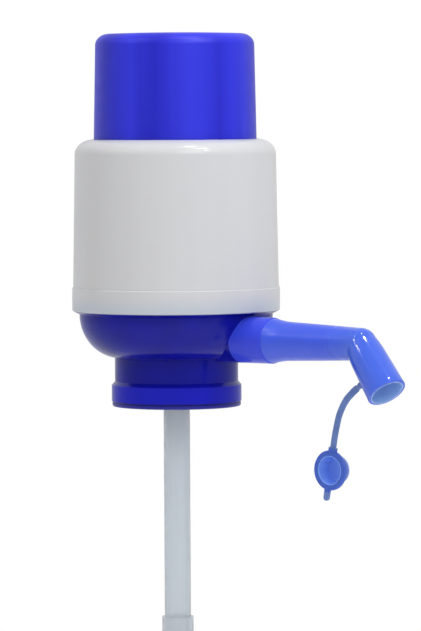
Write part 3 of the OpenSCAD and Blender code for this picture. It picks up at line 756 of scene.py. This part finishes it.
def lathe(name: str, outline: list[tuple[float, float]], steps: int) -> bpy.types.Object:
    """Spins a closed outline once round the pump's axis.

    Args:
        name: the object's name.
        outline: radius and height of each point, in metres.
        steps: sections round the axis.

    Returns:
        The lathed piece.
    """
    mesh = bmesh.new()
    points = [mesh.verts.new((radius, 0.0, height)) for radius, height in outline]
    for here, following in zip(points, points[1:] + points[:1]):
        mesh.edges.new((here, following))
    bmesh.ops.spin(mesh, geom=mesh.verts[:] + mesh.edges[:], axis=UP, cent=(0, 0, 0),
                   angle=math.tau, steps=steps, use_merge=True)
    bmesh.ops.remove_doubles(mesh, verts=mesh.verts[:], dist=SAME_PLACE)
    bmesh.ops.recalc_face_normals(mesh, faces=mesh.faces[:])
    return piece_from(mesh, name)


MADE: dict[str, bpy.types.Material] = {}


def shared(finish: Finish) -> bpy.types.Material:
    """Builds a finish's material once.

    Args:
        finish: the finish.

    Returns:
        The one material of that finish.
    """
    if finish.name not in MADE:
        MADE[finish.name] = finish.material()
    return MADE[finish.name]


def dressed(made: bpy.types.Object, finish: Finish, slot: str, body: Body, *nodes: str) -> bpy.types.Object:
    """Gives a piece its finish and its place among the bodies.

    Args:
        made: the piece.
        finish: its finish.
        slot: the record's material slot; not used.
        body: the body that it rides on.
        nodes: the CAD parts that it stands for.

    Returns:
        The piece.
    """
    made.data.materials.clear()
    made.data.materials.append(shared(finish))
    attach(made, body.value)
    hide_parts(*nodes)
    LOG.info("%s: %d faces", made.name, len(made.data.polygons))
    return made


# ---------------------------------------------------------------- camera and studio


@dataclass
class PhotoCamera:
    """The camera where the photograph was taken from.

    Attributes:
        turn: how far round the pump it stands from the front.
        distance: how far from the pump's axis, on the level.
        aside: how far to its own right.
        height: its height over the origin.
        pitch: how far it looks down.
        roll: how far it leans.
        lens: the focal length for the sensor's width, both in millimetres.
        sensor: the sensor's width.
        nearest: where its view starts.
        furthest: where its view ends.
    """

    turn: float = math.radians(40)
    distance: float = 2310 * MM
    aside: float = 17.16 * MM
    height: float = 140.45 * MM
    pitch: float = math.radians(2.856)
    roll: float = math.radians(0.31)
    lens: float = 263.6
    sensor: float = 36.0
    nearest: float = 0.05
    furthest: float = 60.0

    def right(self) -> Vector:
        """The level direction to the picture's right."""
        return Vector((math.cos(self.turn), math.sin(self.turn), 0.0))

    def near(self) -> Vector:
        """The level direction from the pump to the camera."""
        return Vector((math.sin(self.turn), -math.cos(self.turn), 0.0))

    def build(self) -> bpy.types.Object:
        """Makes the camera and gives it to the scene.

        Returns:
            The camera.
        """
        data = bpy.data.cameras.new("camera")
        data.lens = self.lens
        data.sensor_width = self.sensor
        data.clip_start = self.nearest
        data.clip_end = self.furthest
        camera = bpy.data.objects.new("camera", data)
        bpy.context.scene.collection.objects.link(camera)
        back = self.near() * math.cos(self.pitch) + UP * math.sin(self.pitch)
        level_up = UP * math.cos(self.pitch) - self.near() * math.sin(self.pitch)
        side = self.right() * math.cos(self.roll) - level_up * math.sin(self.roll)
        top = level_up * math.cos(self.roll) + self.right() * math.sin(self.roll)
        place = self.right() * self.aside + self.near() * self.distance + UP * self.height
        camera.matrix_world = Matrix.Translation(place) @ Matrix((side, top, back)).transposed().to_4x4()
        bpy.context.scene.camera = camera
        return camera


@dataclass
class Lamp:
    """A soft lamp, placed by its direction from the pump.

    Attributes:
        name: the lamp's name.
        azimuth: degrees to the camera's right, from the camera's own direction.
        elevation: degrees over the level.
        distance: metres from the point that it lights.
        width: metres across.
        height: metres up.
        power: watts.
    """

    name: str
    azimuth: float
    elevation: float
    distance: float
    width: float
    height: float
    power: float

    AIM: ClassVar[Vector] = Vector((0.02, 0, 0.08))

    def build(self, camera: PhotoCamera) -> None:
        """Makes the lamp.

        Args:
            camera: the camera whose directions the azimuth is measured from.
        """
        azimuth, elevation = math.radians(self.azimuth), math.radians(self.elevation)
        level = camera.right() * math.sin(azimuth) + camera.near() * math.cos(azimuth)
        away = level * math.cos(elevation) + UP * math.sin(elevation)
        data = bpy.data.lights.new(self.name, "AREA")
        data.shape = "RECTANGLE"
        data.size = self.width
        data.size_y = self.height
        data.energy = self.power
        lamp = bpy.data.objects.new(self.name, data)
        lamp.location = self.AIM + away * self.distance
        lamp.rotation_euler = away.to_track_quat("Z", "Y").to_euler()
        bpy.context.scene.collection.objects.link(lamp)


@dataclass
class Studio:
    """White surroundings, a pale floor and the lamps.

    Attributes:
        floor_z: the floor's height.
        floor_r: its radius.
        floor_dark: its darker tint.
        floor_pale: its paler tint.
        floor_cloud: clouds per metre on it.
        fade_start: how far out it starts to turn white.
        fade_end: how far out it is white.
        fill: the light of the surroundings.
        from_behind: how bright they are in reflections of the side behind the pump.
        from_camera: how bright they are in reflections of the camera's side.
        turn_over: how near to side-on the two meet.
        lamps: the lamps.
    """

    floor_z: float
    floor_r: float = 9.0
    floor_dark: Colour = (0.90, 0.90, 0.90)
    floor_pale: Colour = (0.94, 0.94, 0.94)
    floor_cloud: float = 3.0
    fade_start: float = 0.5
    fade_end: float = 2.2
    fill: float = 0.60
    from_behind: float = 0.80
    from_camera: float = 0.26
    turn_over: float = 0.5
    lamps: list[Lamp] = field(default_factory=lambda: [
        Lamp("lamp_left_upper", -68.0, 54.0, 1.5, 0.22, 0.04, 1.7),
        Lamp("lamp_left_lower", -68.0, 34.0, 1.5, 0.22, 0.04, 1.7),
        Lamp("lamp_top_upper", 46.0, 78.0, 1.5, 0.26, 0.04, 3.8),
        Lamp("lamp_top_middle", 46.0, 60.0, 1.5, 0.26, 0.04, 3.8),
        Lamp("lamp_top_lower", 46.0, 40.0, 1.5, 0.26, 0.04, 3.8),
        Lamp("lamp_front", 18.0, 32.0, 2.4, 1.2, 0.9, 11.6),
    ])

    def build(self, camera: PhotoCamera) -> None:
        """Sets the world, the floor and the lamps.

        Args:
            camera: the camera that the lamps are placed by.
        """
        self.world(camera)
        self.floor()
        for lamp in self.lamps:
            lamp.build(camera)
        bpy.context.scene.view_settings.view_transform = "Standard"

    def world(self, camera: PhotoCamera) -> None:
        """White where it is seen, plainer where it lights, and dim in reflections of the camera's side.

        Args:
            camera: the camera whose side is dim.
        """
        world = bpy.data.worlds.new("studio")
        bpy.context.scene.world = world
        world.use_nodes = True
        nodes, links = world.node_tree.nodes, world.node_tree.links
        background = nodes["Background"]
        background.inputs["Color"].default_value = (1.0, 1.0, 1.0, 1.0)
        facing = nodes.new("ShaderNodeVectorMath")
        facing.operation = "DOT_PRODUCT"
        facing.inputs[1].default_value = camera.near()
        links.new(nodes.new("ShaderNodeTexCoord").outputs["Object"], facing.inputs[0])
        mirrored = nodes.new("ShaderNodeMapRange")
        for name, value in (("From Min", -self.turn_over), ("From Max", self.turn_over),
                            ("To Min", self.from_behind), ("To Max", self.from_camera)):
            mirrored.inputs[name].default_value = value
        links.new(facing.outputs["Value"], mirrored.inputs["Value"])
        lit = nodes.new("ShaderNodeMix")
        lit.inputs[2].default_value = self.fill
        links.new(nodes.new("ShaderNodeLightPath").outputs["Is Glossy Ray"], lit.inputs[0])
        links.new(mirrored.outputs["Result"], lit.inputs[3])
        level = nodes.new("ShaderNodeMath")
        level.operation = "MAXIMUM"
        links.new(directly_seen(nodes, links), level.inputs[0])
        links.new(lit.outputs[0], level.inputs[1])
        links.new(level.outputs[0], background.inputs["Strength"])

    def floor(self) -> None:
        """A round pale floor that turns plain white far from the pump."""
        mesh = bmesh.new()
        bmesh.ops.create_circle(mesh, cap_ends=True, segments=96, radius=self.floor_r,
                                matrix=Matrix.Translation((0, 0, self.floor_z)))
        made = piece_from(mesh, "floor")
        made.data.materials.append(self.floor_finish())

    def floor_finish(self) -> bpy.types.Material:
        """Pale matt floor near the pump, white as the backdrop further out.

        Returns:
            The material.
        """
        shader = Shader("floor")
        nodes, links = shader.nodes, shader.links
        cloud = shader.noise(Grain.EVEN.value, self.floor_cloud, 4.0)
        shader.join(shader.mix(shader.range(cloud, 0.0, 1.0), self.floor_dark, self.floor_pale), "Base Color")
        shader.set(Roughness=0.9, Specular_IOR_Level=0.1)
        length = nodes.new("ShaderNodeVectorMath")
        length.operation = "LENGTH"
        links.new(shader.coordinates((1.0, 1.0, 0.0)), length.inputs[0])
        far = shader.range(length.outputs["Value"], 0.0, 1.0, self.fade_start, self.fade_end)
        white = nodes.new("ShaderNodeEmission")
        blend = nodes.new("ShaderNodeMixShader")
        links.new(shader.multiply(far, directly_seen(nodes, links)), blend.inputs[0])
        links.new(shader.principled.outputs[0], blend.inputs[1])
        links.new(white.outputs[0], blend.inputs[2])
        links.new(blend.outputs[0], nodes["Material Output"].inputs["Surface"])
        return shader.material


# ---------------------------------------------------------------- the pump


@dataclass
class Moulding:
    """A CAD part as it leaves its mould: the same shape with its facets smoothed and its finish on.

    Attributes:
        node: the CAD part's name.
        body: the body that it rides on.
        finish: its finish.
        slot: the record's material slot.
        flat_faces: whether it has large flat faces to keep flat.
    """

    node: str
    body: Body
    finish: Finish
    slot: str
    flat_faces: bool = True

    def build(self) -> bpy.types.Object:
        """Copies the part's mesh, closes its seams, smooths it and dresses it.

        Returns:
            The finished piece.
        """
        mesh = bmesh.new()
        mesh.from_mesh(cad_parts[self.node].data)
        bmesh.ops.remove_doubles(mesh, verts=mesh.verts[:], dist=SEAM)
        bmesh.ops.dissolve_degenerate(mesh, dist=SAME_PLACE, edges=mesh.edges[:])
        made = piece_from(mesh, f"{self.node}_surface")
        if self.flat_faces:
            weigh_normals(made)
        return dressed(made, self.finish, self.slot, self.body, self.node)


@dataclass
class Strap:
    """The thin strap between the ball under the nozzle and the dust cap.

    Attributes:
        ball: the ball's middle.
        width: the strap's width.
        thickness: its thickness.
        per_span: sections between two points of its route.
        sides: sides of its rounded section.
        crease: the angle past which its edges stay sharp.
    """

    ball: Vector = field(default_factory=lambda: Vector((119.887, -3.470, -5.028)) * MM)
    width: float = 3.7 * MM
    thickness: float = 1.5 * MM
    per_span: int = 3
    sides: int = 16
    crease: float = math.radians(60)

    ROUTE: ClassVar[tuple[Triple, ...]] = (
        (-1.9, -0.2, -1.5), (-3.8, -0.4, -3.0), (-6.9, -0.7, -5.9), (-8.5, -0.9, -7.8),
        (-9.9, -1.0, -10.0), (-11.2, -1.1, -12.4), (-12.3, -1.2, -14.9), (-13.1, -1.3, -17.5),
        (-13.7, -1.4, -20.1), (-14.3, -1.5, -22.7), (-14.8, -1.6, -25.3), (-15.3, -1.6, -27.9),
        (-15.8, -1.6, -30.8),
    )

    def path(self) -> list[Vector]:
        """The strap's middle line, smoothed between the points of its route.

        Returns:
            Points in the row frame, in metres.
        """
        knots = [self.ball + Vector(point) * MM for point in self.ROUTE]
        line = []
        for i in range(len(knots) - 1):
            before, here = knots[max(i - 1, 0)], knots[i]
            following, after = knots[i + 1], knots[min(i + 2, len(knots) - 1)]
            for k in range(self.per_span):
                t = k / self.per_span
                line.append(0.5 * (2 * here + (following - before) * t
                                   + (2 * before - 5 * here + 4 * following - after) * t ** 2
                                   + (3 * here - before - 3 * following + after) * t ** 3))
        return line + [knots[-1]]

    def build(self, hung: list[bpy.types.Object]) -> bpy.types.Object:
        """Draws the strap's section out along its path.

        Args:
            hung: the pieces that hang on the strap.

        Returns:
            The strap.
        """
        line = self.path()
        mesh = bmesh.new()
        ring = bmesh.ops.create_circle(mesh, cap_ends=True, segments=self.sides, radius=1.0)["verts"]
        faces = mesh.faces[:]
        frames = [self.section(line, i) for i in range(len(line))]
        bmesh.ops.transform(mesh, matrix=frames[0], verts=ring)
        for before, after in zip(frames, frames[1:]):
            drawn = bmesh.ops.extrude_face_region(mesh, geom=faces)
            verts = [item for item in drawn["geom"] if isinstance(item, bmesh.types.BMVert)]
            bmesh.ops.transform(mesh, matrix=after @ before.inverted(), verts=verts)
            moved = [item for item in drawn["geom"] if isinstance(item, bmesh.types.BMFace)]
            if before is not frames[0]:
                bmesh.ops.delete(mesh, geom=faces, context="FACES_ONLY")
            faces = moved
        bmesh.ops.recalc_face_normals(mesh, faces=mesh.faces[:])
        made = piece_from(mesh, "strap", self.crease)
        dressed(made, STRAP_BLUE, "strap_blue", Body.TETHER, "cap_tether")
        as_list(hung)
        return made

    def section(self, line: list[Vector], i: int) -> Matrix:
        """Where the flattened section stands at one point of the path.

        Args:
            line: the path.
            i: the point's number.

        Returns:
            The matrix from a unit circle to the section.
        """
        along = (line[min(i + 1, len(line) - 1)] - line[max(i - 1, 0)]).normalized()
        across = along.cross(Vector((0, 1, 0))).normalized()
        over = across.cross(along)
        turn = Matrix((across, over, along)).transposed().to_4x4()
        flat = Matrix.Diagonal((self.width / 2, self.thickness / 2, 1.0, 1.0))
        return Matrix.Translation(line[i]) @ turn @ flat


@dataclass
class AirBag:
    """The ribbed rubber bag and the spring inside it.

    Attributes:
        bag_r: the bag's radius on its folds.
        valley_r: its radius between them.
        wall: its thickness.
        lip_inset: how far its upper lip stays inside the ring that clamps it.
        folds: its folds.
        per_fold: sections to each fold.
        sections: sections round the pump's axis.
        coil_r: the spring's mean radius.
        wire_r: its wire's radius.
        wire_sides: sides of the wire.
        end_gap: the gap beside the turn that closes each end.
        coils: its open turns.
        per_turn: sections to each turn.
        crease: the angle past which the wire's edges stay sharp.
        travel: how far the cap goes down; not used.
    """

    bag_r: float = 36.35 * MM
    valley_r: float = 32.35 * MM
    wall: float = 1.5 * MM
    lip_inset: float = 6.4 * MM
    folds: int = 11
    per_fold: int = 10
    sections: int = 96
    coil_r: float = 16.4 * MM
    wire_r: float = 0.9 * MM
    wire_sides: int = 12
    end_gap: float = 0.5 * MM
    coils: int = 10
    per_turn: int = 40
    crease: float = math.radians(50)
    travel: float = 42.0 * MM

    def build(self) -> None:
        """Makes the bag and the spring."""
        low, high = (corner.z for corner in map(Vector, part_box("bellows")))
        bag = self.bag(low, high)
        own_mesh(bag)
        low, high = (corner.z for corner in map(Vector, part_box("return_spring")))
        spring = self.spring(low, high)
        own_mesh(spring)

    def bag(self, low: float, high: float) -> bpy.types.Object:
        """The bag: round folds between two flat lips.

        Args:
            low: the height of the lower lip's underside.
            high: the height of the upper lip's top.

        Returns:
            The bag.
        """
        flange_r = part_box("bellows_bottom_ring")[1][0]
        lip_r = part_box("bellows_top_ring")[1][0] - self.lip_inset
        start, end = low + self.wall, high - self.wall
        middle, swing = (self.bag_r + self.valley_r) / 2, (self.bag_r - self.valley_r) / 2
        count = self.folds * self.per_fold
        wave = [(middle - swing * math.cos(math.tau * self.folds * i / count),
                 start + (end - start) * i / count) for i in range(count + 1)]
        inner = [(radius - self.wall, height) for radius, height in reversed(wave)]
        outline = ([(self.valley_r - self.wall, low), (flange_r, low), (flange_r, start)] + wave
                   + [(self.valley_r, high), (lip_r, high), (lip_r, end)] + inner)
        made = lathe("air_bag", outline, self.sections)
        return dressed(made, BLACK_RUBBER, "black_rubber", Body.BASE, "bellows")

    def spring(self, low: float, high: float) -> bpy.types.Object:
        """The spring: a closed turn at each end and open turns between.

        Args:
            low: the height of its lowest point.
            high: the height of its highest point.

        Returns:
            The spring.
        """
        mesh = bmesh.new()
        start = low + self.wire_r
        place = Matrix.Translation((self.coil_r, 0, start)) @ Matrix.Rotation(math.pi / 2, 4, "X")
        bmesh.ops.create_circle(mesh, cap_ends=False, segments=self.wire_sides, radius=self.wire_r,
                                matrix=place)
        closed = 2 * self.wire_r + self.end_gap
        opened = (high - low - 2 * self.wire_r - 2 * closed) / self.coils
        tip = mesh.verts[:] + mesh.edges[:]
        first = mesh.edges[:]
        for turns, pitch in ((1, closed), (self.coils, opened), (1, closed)):
            wound = bmesh.ops.spin(mesh, geom=tip, axis=UP, cent=(0, 0, 0),
                                   dvec=(0, 0, pitch / self.per_turn), angle=math.tau * turns,
                                   steps=self.per_turn * turns, use_merge=False)
            tip = wound["geom_last"]
        last = [item for item in tip if isinstance(item, bmesh.types.BMEdge)]
        bmesh.ops.remove_doubles(mesh, verts=mesh.verts[:], dist=SAME_PLACE)
        bmesh.ops.contextual_create(mesh, geom=[edge for edge in first if edge.is_valid])
        bmesh.ops.contextual_create(mesh, geom=[edge for edge in last if edge.is_valid])
        bmesh.ops.recalc_face_normals(mesh, faces=mesh.faces[:])
        made = piece_from(mesh, "coil_spring", self.crease)
        return dressed(made, SPRING_STEEL, "spring_steel", Body.BASE, "return_spring")


@dataclass
class Pump:
    """The whole pump, sub-assembly by sub-assembly."""

    def mouldings(self) -> list[Moulding]:
        """Lists the parts that keep their CAD shape.

        Returns:
            Each part with its body and finish.
        """
        return [
            Moulding("press_cap", Body.PRESS, CAP_BLUE_PAINTED_STREAKS, "cap_blue"),
            Moulding("spring_plate", Body.PRESS, INNER_WHITE, "inner_white"),
            Moulding("bellows_top_ring", Body.PRESS, INNER_WHITE, "inner_white"),
            Moulding("top_screws", Body.PRESS, SCREW_STEEL, "screw_steel"),
            Moulding("intake_valve", Body.INTAKE, VALVE_RUBBER, "valve_rubber"),
            Moulding("outer_shell", Body.BASE, SHELL_WHITE, "shell_white"),
            Moulding("base_body", Body.BASE, BASE_BLUE, "base_blue"),
            Moulding("neck_grip_ring", Body.BASE, RING_BLUE, "ring_blue"),
            Moulding("neck_gasket", Body.BASE, BLACK_RUBBER, "black_rubber"),
            Moulding("valve_plate", Body.BASE, INNER_WHITE, "inner_white"),
            Moulding("bellows_bottom_ring", Body.BASE, INNER_WHITE, "inner_white"),
            Moulding("base_screws", Body.BASE, SCREW_STEEL, "screw_steel"),
            Moulding("check_valve", Body.CHECK, VALVE_RUBBER, "valve_rubber"),
            Moulding("dip_tube_upper", Body.BASE, TUBE_CLEAR, "tube_clear"),
            Moulding("dip_tube_middle", Body.BASE, TUBE_CLEAR, "tube_clear"),
            Moulding("dip_tube_lower", Body.BASE, TUBE_CLEAR, "tube_clear"),
            Moulding("inlet_foot", Body.BASE, FOOT_BLUE, "foot_blue"),
            Moulding("spout", Body.SPOUT, SPOUT_BLUE, "spout_blue", flat_faces=False),
            Moulding("spout_oring", Body.SPOUT, BLACK_RUBBER, "black_rubber"),
            Moulding("tether_eye", Body.TETHER, STRAP_BLUE, "strap_blue"),
        ]

    def build(self) -> None:
        """Builds every piece, the strap first."""
        plug = Moulding("dust_cap", Body.TETHER, STRAP_BLUE, "strap_blue").build()
        Strap().build([plug])
        for moulding in self.mouldings():
            moulding.build()
        AirBag().build()


def main() -> None:
    """Makes the camera, the pump and the studio."""
    logging.basicConfig(level=logging.INFO, format="%(name)s %(message)s")
    camera = PhotoCamera()
    camera.build()
    Pump().build()
    Studio(floor_z=CAD_BOX[0][2]).build(camera)
    bpy.context.view_layer.update()


if __name__ == "__main__":
    main()
